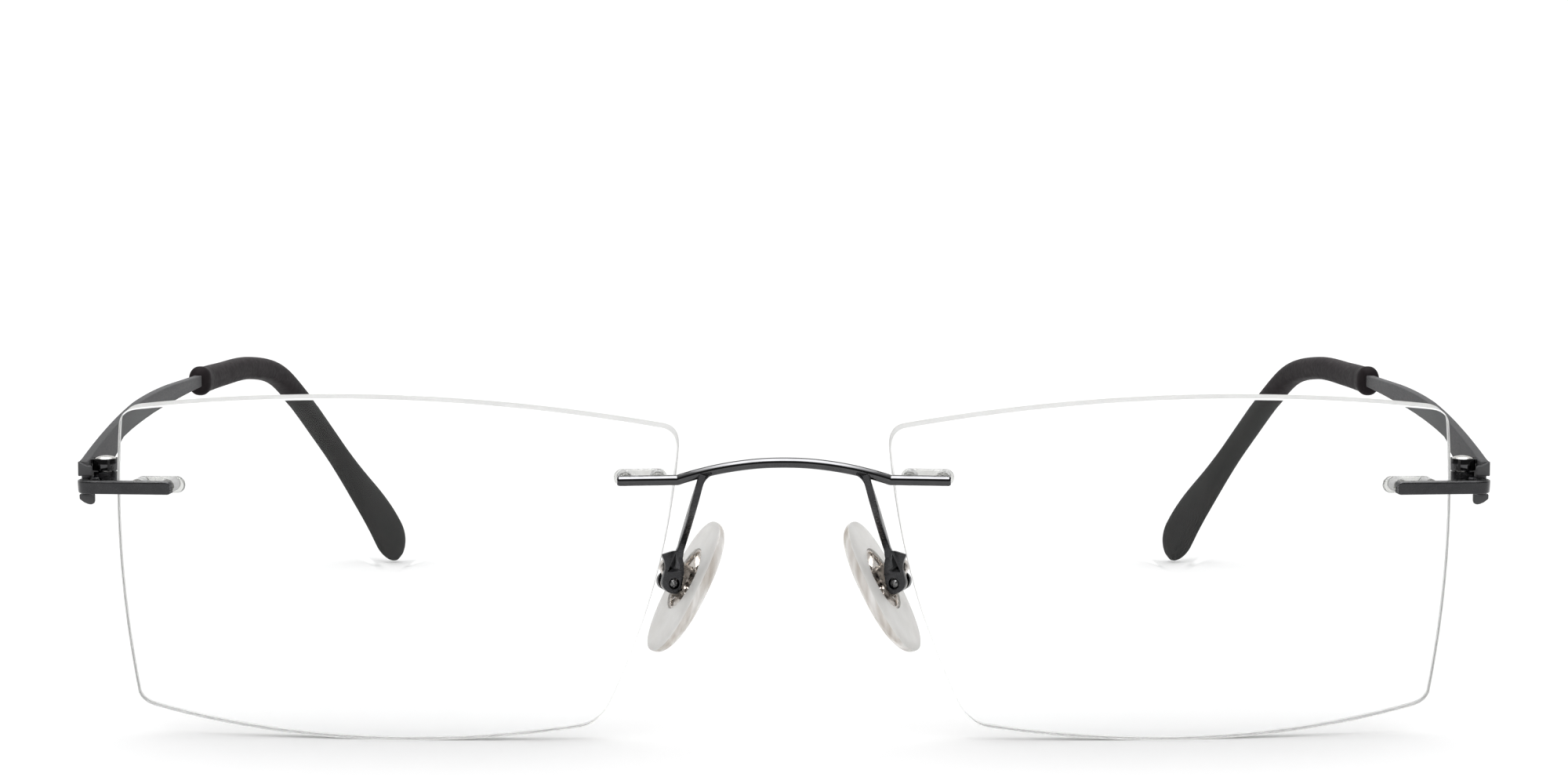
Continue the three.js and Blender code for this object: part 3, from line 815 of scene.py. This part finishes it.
def bridge_form():
    line = bridge_line()
    length = sum((b - a).length for a, b in zip(line, line[1:]))
    end = 0.22 / length

    def section(s):
        near = min(s, 1 - s)
        shrink = 1.0 if near >= end else math.sqrt(1 - 0.45 * (1 - near / end) ** 2)
        size = 2 * BRIDGE_RADIUS * shrink
        return round_section(size, size, 2, 28)

    wire = sweep(line, section, UP)
    pins = []
    for place in (LENS @ NASAL, MIRROR @ LENS @ NASAL):
        pins += [moved(pin, place) for pin in pin_forms(FACE_GAP + BRIDGE_RADIUS)]
    return merged(wire, *pins)


# ---- pad arm, nose pad and screw ----


def pad_arm_line():
    """From the bridge's middle down, back in an S, to the pad box."""
    fall = ARM_FOOT - ARM_TOP
    line = [ARM_ROOT, ARM_ROOT.lerp(ARM_TOP, 0.5)]
    for i in range(33):
        t = i / 32
        down = 1.2 * t * (1 - t) ** 2 + 1.8 * t ** 2 * (1 - t) + t ** 3
        back = 3 * t ** 2 - 2 * t ** 3
        line.append(ARM_TOP + Vector((fall.x * down, fall.y * back, fall.z * down)))
    return even(line, 90)


def pad_arm_bar():
    """The bar, a little wider at its foot, and its fillet under the bridge on the nose side."""
    def section(s):
        foot = 1 + 0.35 * smoothstep(s, 0.93, 1.0)
        return [(a, b * foot) for a, b in round_section(ARM_DEPTH, ARM_WIDTH, 5, 28)]

    bar = sweep(pad_arm_line(), section, Vector((1, 0, 0)))
    fillet = path(
        (-7.75, 26.1),
        ((-8.0, 24.9),),
        ((-7.6, 24.75),),
        ((-7.42, 25.55), (-6.7, 25.93), 10),
        ((-6.8, 26.2),),
    )
    turn = stood_up(ARM_ROOT.y + FILLET_BACK + FILLET_DEPTH / 2)
    return merged(bar, bevelled(moved(prism(fillet, 0, FILLET_DEPTH), turn), 0.05, 2))


def pad_box_outline():
    return path(
        (-1.22, 0.3),
        ((-1.28, -0.35), (-0.72, -0.73), 8),
        ((-0.3, -1.0), (0.16, -1.0), 8),
        ((0.62, -1.0), (0.8, -0.3), 8),
        ((0.96, 1.0),),
        ((0.89, 1.95),),
        ((0.52, 3.2),),
        ((-0.3, 3.15),),
        ((-1.48, 2.8),),
        ((-1.02, 2.2), (-1.02, 1.35), 8),
    )


def pocket_form():
    """A three-sided hollow in the front of the box, above the screw."""
    face = BOX_HALF_DEPTH + 0.02
    floor = BOX_HALF_DEPTH - 0.42
    bm = bmesh.new()
    rim = [bm.verts.new((x, y, face)) for x, y in ((-0.82, 1.1), (0.7, 1.16), (0.0, 2.98))]
    ridge = [bm.verts.new((x, y, floor)) for x, y in ((-0.06, 1.5), (0.04, 2.2))]
    bm.faces.new(rim)
    bm.faces.new((rim[0], rim[1], ridge[0]))
    bm.faces.new((rim[1], rim[2], ridge[1], ridge[0]))
    bm.faces.new((rim[2], rim[0], ridge[0], ridge[1]))
    bmesh.ops.recalc_face_normals(bm, faces=bm.faces)
    return paint_faces(bm, 1, lambda face: True)


def pad_box_body():
    """The box's front plate is full size; behind it the outer side and the top draw in."""
    front = pad_box_outline()
    rings = []
    for z, share in ((BOX_HALF_DEPTH, 0), (BOX_SLOT_HALF, 0.1), (-BOX_HALF_DEPTH, 1)):
        ring = []
        for x, y in front:
            side = lerp(BOX_DRAW_LOW, BOX_DRAW_HIGH, smoothstep(y, 0.2, 1.4))
            inward = side * smoothstep(-x, -0.6, 0.6)
            down = BOX_DRAW_TOP * smoothstep(y, 1.6, 2.8)
            ring.append((x + inward * share, y - down * share, z))
        rings.append(ring)
    bm = bmesh.new()
    rings = [[bm.verts.new(point) for point in ring] for ring in rings]
    for a, b in zip(rings, rings[1:]):
        for k in range(len(a)):
            n = (k + 1) % len(a)
            bm.faces.new((a[k], a[n], b[n], b[k]))
    bm.faces.new(rings[0])
    bm.faces.new(rings[-1])
    bmesh.ops.recalc_face_normals(bm, faces=bm.faces)
    return bm


def pad_arm_form():
    """The arm and the box that the nose pad's tab is screwed into."""
    slot = box((-3, -3, -BOX_SLOT_HALF), (3, 2.45, BOX_SLOT_HALF))
    hole = rod(PAD_SCREW_HOLE, -3, 3, sides=40)
    body = bevelled(cut(pad_box_body(), slot, hole), 0.07, 3)
    body = cut(body, pocket_form())
    return merged(pad_arm_bar(), moved(body, screw_frame(0)))


def insert_oval(more):
    """The outline of the insert's plate, made larger all round."""
    width = INSERT_HALF_WIDTH + more
    length = INSERT_HALF_LENGTH + more
    return [(x * width, y * length + INSERT_CENTRE.y) for x, y in arc((0, 0), 1, 0, 354, 59)]


def nose_pad_form():
    """A smooth oval cushion: domed towards the nose, nearly flat at the back, with a pocket."""
    bm = bmesh.new()
    bmesh.ops.create_uvsphere(bm, u_segments=96, v_segments=48, radius=1)
    bmesh.ops.rotate(bm, verts=bm.verts, matrix=Matrix.Rotation(math.pi / 2, 3, "X"))
    for vert in bm.verts:
        x, y, z = vert.co
        total = sum(abs(value) ** PAD_BLUNTNESS for value in (x, y, z))
        blunt = total ** (-1 / PAD_BLUNTNESS)
        depth = PAD_DOME if x > 0 else PAD_BACK
        shape = Vector((x * depth, y * PAD_HALF_LENGTH, z * PAD_HALF_WIDTH)) * blunt
        vert.co = shape + PAD_CENTRE
    bm.normal_update()
    # The wall gets the second material, streaked with a painted reflection of the insert plate
    paint_faces(bm, 1, lambda face: PAD_REFLECTION_WALL[0] < face.normal.x < PAD_REFLECTION_WALL[1])
    end = INSERT_CENTRE.x + INSERT_HALF_THICKNESS + PAD_POCKET_ROOM
    points = insert_oval(PAD_POCKET_ROOM)
    return cut(bm, moved(prism(points, 0, end), PLATE_TURN))


def pad_insert_form():
    """An oval plate with a rim and crossed ribs, and the tab that goes into the pad box."""
    back = INSERT_CENTRE.x - INSERT_HALF_THICKNESS
    front = INSERT_CENTRE.x + INSERT_HALF_THICKNESS
    hollow = prism(insert_oval(-INSERT_RIM), back - 1, back + INSERT_RIM)
    plate = cut(prism(insert_oval(0), back, front), hollow)
    ribs = []
    for up, angle in ((-1.7, 50), (-0.5, -50), (0.7, 50), (1.9, -50)):
        rib = box((-0.09, -1.5, back + 0.05), (0.09, 1.5, back + 0.3))
        turn = Matrix.Rotation(math.radians(angle), 4, "Z")
        ribs.append(moved(rib, Matrix.Translation((0, INSERT_CENTRE.y + up, 0)) @ turn))
    ribs = [with_bounds(rib, insert_oval(-0.1), back, front) for rib in ribs]
    plate = moved(bevelled(merged(plate, *ribs), 0.03, 2), PLATE_TURN)
    outline = path((back + 0.1, -1.0), ((back + 0.1, 2.3),))
    outline += arc(TAB_LOBE, TAB_LOBE_RADIUS, 90, 207, 26)
    outline += quadratic(outline[-1], (-1.1, 0.5), (-TAB_EYE_RADIUS, 0), 8)
    outline += arc((0, 0), TAB_EYE_RADIUS, 186, 270, 14)
    tab = prism(outline, -TAB_HALF, TAB_HALF)
    tab = bevelled(cut(tab, rod(PAD_SCREW_HOLE, -2, 2, sides=32)), 0.06, 2)
    return merged(plate, tab)


def thread(radius, depth, pitch, bottom, top, sides=28):
    """A V-thread wound round a rod along Z."""
    turns = (top - bottom) / pitch
    steps = int(turns * sides)
    line = []
    for i in range(steps + 1):
        angle = 2 * math.pi * i / sides
        z = lerp(bottom, top, i / steps)
        line.append(Vector((radius * math.cos(angle), radius * math.sin(angle), z)))

    def section(s):
        fade = min(1.0, 12 * min(s, 1 - s) + 0.15)
        return [(-0.03, -pitch * 0.42), (depth * fade, 0.0), (-0.03, pitch * 0.42)]

    return sweep(line, section, UP)


def pad_screw_form():
    back = -BOX_HALF_DEPTH - 0.15
    head_profile = [(0, back - 0.45), (0.45, back - 0.42), (0.72, back - 0.33),
                    (0.85, back - 0.16), (0.85, back - 0.05), (0.8, back), (0, back)]
    head = turned(head_profile, 40)
    head = cut(head, box((-1.2, -0.11, back - 1), (1.2, 0.11, back - 0.22)))
    front = BOX_HALF_DEPTH - 0.1
    core = PAD_SCREW_RADIUS - 0.04
    end = [(0, back - 0.1), (core, back - 0.1), (core, front - 0.1), (core - 0.03, front - 0.05),
           (core - 0.08, front - 0.02), (core - 0.11, front - 0.07), (core - 0.16, front - 0.02),
           (core - 0.21, front), (core - 0.24, front - 0.05), (core - 0.29, front),
           (core - 0.34, front + 0.01), (core - 0.37, front - 0.04), (0, front - 0.04)]
    shank = turned(end, 40)
    return merged(head, shank, thread(core - 0.01, 0.05, 0.24, back + 0.2, front - 0.14))


# ---- endpiece, hinge and temple ----


def endpiece_form():
    """A flat bar in front of the lens, bent round the corner to the lower hinge knuckle."""
    place = LENS @ TEMPORAL
    middle = FACE_GAP + BAR_THICKNESS / 2
    bar = [place @ Vector((x, 0, middle)) for x in (2.25, 0, -2.5, -5.0, -5.9)]
    height = bar[-1].z
    wrap = [Vector((-66.4, 0.15, height)), Vector((-66.78, 0.8, height)),
            Vector((-66.83, 1.8, height)), Vector((-66.7, 2.6, height)),
            Vector((-66.3, 3.05, height)), Vector((-65.9, 3.3, height))]
    line = smooth_line(bar + wrap, 150)
    length = sum((b - a).length for a, b in zip(line, line[1:]))
    end = 0.3 / length

    def section(s):
        shrink = 1.0 if s >= end else math.sqrt(1 - 0.35 * (1 - s / end) ** 2)
        return round_section(BAR_THICKNESS * shrink, BAR_HEIGHT * shrink, 9, 36)

    upright = place.to_3x3() @ Vector((0, 1, 0))
    strip = sweep(line, section, upright)
    pins = [moved(pin, place) for pin in pin_forms(middle)]
    radius, bottom, top = LOWER_KNUCKLE
    knuckle = tube(radius, HINGE_BORE_RADIUS, bottom, top, (HINGE.x, HINGE.y))
    return merged(strip, knuckle, *pins)


def blade_outline():
    """The blade's side view, behind the two claws, with the slot for the endpiece."""
    return path(
        (BLADE_START_Y, SLOT_TOP),
        ((BLADE_START_Y, 26.45),),
        ((3.6, 26.6),),
        ((16, 29.1), (28, 30.1), 30),
        ((36, 30.6), (46, 30.58), 16),
        ((BLADE_END_Y, 30.4),),
        ((BLADE_END_Y, 29.1),),
        ((34, 28.75), (20.6, 27.2), 30),
        ((16, 25.9), (5, 22.95), 16),
        ((BLADE_START_Y, 22.75),),
        ((BLADE_START_Y, SLOT_BOTTOM),),
        ((SLOT_END_Y, SLOT_BOTTOM),),
        ((SLOT_END_Y, SLOT_TOP),),
    )


def claw_form(outline):
    """A claw in front of the endpiece; its outline is seen from the front, x and z."""
    turn = stood_up(BLADE_FRONT_Y + CLAW_THICKNESS)
    return bevelled(moved(prism(outline, 0, CLAW_THICKNESS), turn), 0.12, 4)


def upper_claw():
    outer = BLADE_OUTER_X
    inner = outer + UPPER_CLAW_REACH
    return claw_form(path(
        (outer, SLOT_TOP),
        ((outer + 1.1, SLOT_TOP + 0.06),),
        ((inner, SLOT_TOP + 0.06), (inner, SLOT_TOP + 0.25), 6),
        ((inner, 25.7),),
        ((inner, 26.02), (outer + 0.96, 26.04), 8),
        ((outer + 0.8, 26.06),),
        ((outer, 26.48),),
    ))


def lower_claw():
    outer = BLADE_OUTER_X
    inner = outer + LOWER_CLAW_REACH
    return claw_form(path(
        (outer + 0.08, SLOT_BOTTOM),
        ((outer + 0.12, 22.85),),
        ((outer + 0.52, 22.54),),
        ((outer + 1.48, 22.05), (inner, 22.7), 10),
        ((inner, SLOT_BOTTOM),),
    ))


def temple_form():
    """The flat blade, its two claws, the upper hinge knuckle and the wire core's start."""
    inner = BLADE_OUTER_X + BLADE_THICKNESS
    side = Matrix(((0, 0, 1, BLADE_OUTER_X), (1, 0, 0, 0), (0, 1, 0, 0), (0, 0, 0, 1)))
    blade = moved(prism(blade_outline(), 0, BLADE_THICKNESS), side)
    blade = bevelled(blade, 0.13, 4)
    radius, bottom, top = UPPER_KNUCKLE
    recess, shelf = HEAD_RECESS
    bore = HINGE_BORE_RADIUS
    ring = turned([
        (bore, bottom + 0.05), (bore + 0.05, bottom), (radius - 0.08, bottom),
        (radius - 0.02, bottom + 0.03), (radius, bottom + 0.09), (radius, top - 0.06),
        (radius - 0.02, top - 0.02), (radius - 0.05, top), (recess, top), (recess, shelf),
        (bore, shelf),
    ], 64, (HINGE.x, HINGE.y))
    web = box((inner - 0.1, HINGE.y - 0.6, bottom),
              (HINGE.x - recess - 0.02, HINGE.y + radius, top - 0.05))
    forms = [blade, upper_claw(), lower_claw(), paint_faces(ring, 1, lambda face: True),
             paint_faces(bevelled(web, 0.08, 2), 1, lambda face: True)]
    start = Vector((BLADE_OUTER_X + BLADE_THICKNESS / 2, BLADE_END_Y - 1, 29.75))
    line = [start + Vector((0, 0.5 * i, 0)) for i in range(16)]
    forms.append(sweep(line, lambda s: round_section(0.85, 1.05, 4, 20), UP))
    return merged(*forms)


def hinge_screw_form():
    """A shank and a domed head with a driver slot, sunk in the upper knuckle."""
    seat, crown, head = SCREW_SEAT, SCREW_CROWN, SCREW_HEAD_RADIUS
    rim = seat + 0.1
    profile = [(0, 23.5), (0.5, 23.5), (0.6, 23.6), (0.6, seat), (head - 0.05, seat),
               (head, seat + 0.04), (head, rim)]
    profile += [(head * math.cos(a), rim + (crown - rim) * math.sin(a))
                for a in (0.2, 0.4, 0.6, 0.8, 1.0, 1.2, 1.4)]
    profile.append((0, crown))
    screw = turned(profile, 64, (HINGE.x, HINGE.y))
    slot = box((0.25, -0.12, crown - 0.3), (1.4, 0.12, crown + 1))
    place = Matrix.Translation((HINGE.x, HINGE.y, 0))
    tools = [moved(slot.copy(), place @ Matrix.Rotation(math.radians(angle), 4, "Z"))
             for angle in (20, 200)]
    slot.free()
    return cut(screw, *tools)


def tip_form():
    """The sleeve: round at the front with a small bead, then a flat paddle with a round end."""
    steps = 300
    line = smooth_line(list(TIP_LINE), steps)[int(SLEEVE_START * steps):]

    def section(s):
        swell = smoothstep(s, *SLEEVE_SWELL)
        flatten = smoothstep(s, *SLEEVE_FLATTEN)
        sizes = []
        for front, body, paddle in zip(SLEEVE_FRONT, SLEEVE_BODY, SLEEVE_PADDLE):
            sizes.append(lerp(lerp(front, body, swell), paddle, flatten))
        beyond = max(s - 1 + SLEEVE_ROUND_BACK, 0) / SLEEVE_ROUND_BACK
        back = math.sqrt(max(1 - beyond ** 2, 0.004))
        front = 0.4 + 0.6 * math.sqrt(1 - (1 - min(s / SLEEVE_ROUND_FRONT, 1)) ** 2)
        bead = 1 + 0.12 * (1 - smoothstep(s, *SLEEVE_BEAD))
        scale = back * front * bead
        return round_section(sizes[0] * scale, sizes[1] * scale, 2.3, 40)

    return sweep(line, section, UP)


# ---- assembly ----


def make_side(side):
    place = TO_ROW if side == "right" else TO_ROW @ MIRROR
    temple = f"{side}_temple"
    pad = f"{side}_pad"
    rows = [
        (drilled_lens, LENS, "lens", "front", "lens", "lens",
         ("lens_face", "lens_edge", "lens_rim")),
        (plug_form, LENS @ TEMPORAL, "temporal_clip", "front", "temporal_plug", "plug", ("plug",)),
        (plug_form, LENS @ NASAL, "nasal_clip", "front", "nasal_plug", "plug", ("plug",)),
        (pad_arm_form, Matrix(), "pad_arm_bar", "front", "pad_arm", "satin_metal",
         ("satin", "gloss")),
        (pad_screw_form, screw_frame(0), "pad_box_screw", "front", "pad_screw", "steel",
         ("screw",)),
        (nose_pad_form, screw_frame(PAD_ROCK), "nose_cushion", pad, "nose_pad", "silicone",
         ("silicone", "silicone_painted_reflection")),
        (pad_insert_form, screw_frame(PAD_ROCK), "pad_plate", pad, "pad_insert", "steel",
         ("insert",)),
        (endpiece_form, Matrix(), "end_bar", "front", "endpiece", "satin_metal",
         ("satin", "steel")),
        (temple_form, Matrix(), "temple_blade", temple, "temple", "temple_metal",
         ("blade", "gloss")),
        (hinge_screw_form, Matrix(), "hinge_bolt", temple, "hinge_screw", "steel", ("steel",)),
        (tip_form, Matrix(), "temple_sleeve", temple, "temple_tip", "tip", ("tip",)),
    ]
    for make, local, name, body, node, slot, materials in rows:
        form = moved(make(), place @ local)
        add_piece(form, f"{side}_{name}", body, f"{node}_{side}", materials)


def make_camera():
    data = bpy.data.cameras.new("camera")
    data.sensor_fit = "HORIZONTAL"
    data.sensor_width = CAMERA_SENSOR
    data.lens = CAMERA_LENS
    data.clip_start = 0.01
    camera = bpy.data.objects.new("camera", data)
    camera.location = TO_ROW @ CAMERA_PLACE
    camera.rotation_euler = Euler((math.radians(90 - CAMERA_PITCH), 0, 0))
    bpy.context.scene.collection.objects.link(camera)
    bpy.context.scene.camera = camera


def make_stage():
    mesh = bpy.data.meshes.new("floor")
    form = bmesh.new()
    bmesh.ops.create_grid(form, x_segments=8, y_segments=8, size=6)
    form.to_mesh(mesh)
    form.free()
    mesh.materials.append(floor_paint())
    floor = bpy.data.objects.new("floor", mesh)
    bpy.context.scene.collection.objects.link(floor)


class Sky:
    """Short calls for the world's nodes; every value is a strength or a part of a direction."""

    def __init__(self, name):
        self.world = bpy.data.worlds.new(name)
        self.world.use_nodes = True
        self.world.cycles.sampling_method = "NONE"
        self.nodes = self.world.node_tree.nodes
        self.links = self.world.node_tree.links

    def direction(self):
        place = self.nodes.new("ShaderNodeTexCoord")
        axes = self.nodes.new("ShaderNodeSeparateXYZ")
        self.links.new(place.outputs["Generated"], axes.inputs["Vector"])
        return axes.outputs

    def math(self, operation, first, second=0.0):
        made = self.nodes.new("ShaderNodeMath")
        made.operation = operation
        for socket, value in zip(made.inputs, (first, second)):
            if isinstance(value, float):
                socket.default_value = value
            else:
                self.links.new(value, socket)
        return made.outputs["Value"]

    def slope(self, source, start, end, low=0.0, high=1.0):
        """Goes from low at start to high at end, and is level outside them."""
        made = self.nodes.new("ShaderNodeMapRange")
        values = {"From Min": start, "From Max": end, "To Min": low, "To Max": high}
        for name, value in values.items():
            made.inputs[name].default_value = value
        self.links.new(source, made.inputs["Value"])
        return made.outputs["Result"]


def make_world():
    """White for the camera and for diffuse light. Reflections see a studio: a dark room that
    gets lighter upwards, a narrow soft box overhead, and the white backdrop behind."""
    sky = Sky("studio")
    x, y, z = sky.direction()
    room = sky.slope(z, *CEILING_Z, DARK_ROOM, CEILING)
    high = sky.slope(z, *SOFT_BOX_Z)
    narrow = sky.slope(sky.math("ABSOLUTE", x), *SOFT_BOX_X)
    over = sky.slope(y, *SOFT_BOX_Y)
    box_light = sky.math("MULTIPLY", sky.math("MULTIPLY", high, narrow), over)
    box_light = sky.math("MULTIPLY", box_light, SOFT_BOX)
    studio = sky.math("MAXIMUM", sky.math("ADD", room, box_light),
                      sky.slope(y, *BACKDROP_Y))
    ray = sky.nodes.new("ShaderNodeLightPath")
    choice = sky.nodes.new("ShaderNodeMix")
    choice.inputs["A"].default_value = DIFFUSE_LIGHT
    mirrored = sky.math("MINIMUM", ray.outputs["Glossy Depth"], 1.0)
    scattered = sky.math("MINIMUM", ray.outputs["Diffuse Depth"], 1.0)
    seen = sky.math("MAXIMUM", sky.math("SUBTRACT", mirrored, scattered), 0.0)
    sky.links.new(seen, choice.inputs["Factor"])
    sky.links.new(studio, choice.inputs["B"])
    backdrop = sky.nodes["Background"]
    backdrop.inputs["Color"].default_value = (1, 1, 1, 1)
    sky.links.new(choice.outputs["Result"], backdrop.inputs["Strength"])
    bpy.context.scene.world = sky.world
    bpy.context.scene.view_settings.view_transform = "Standard"


make_camera()
make_stage()
make_world()
add_piece(moved(bridge_form(), TO_ROW), "bridge_wire", "front", "bridge",
          ("gloss", "steel"))
for side in SIDES:
    make_side(side)
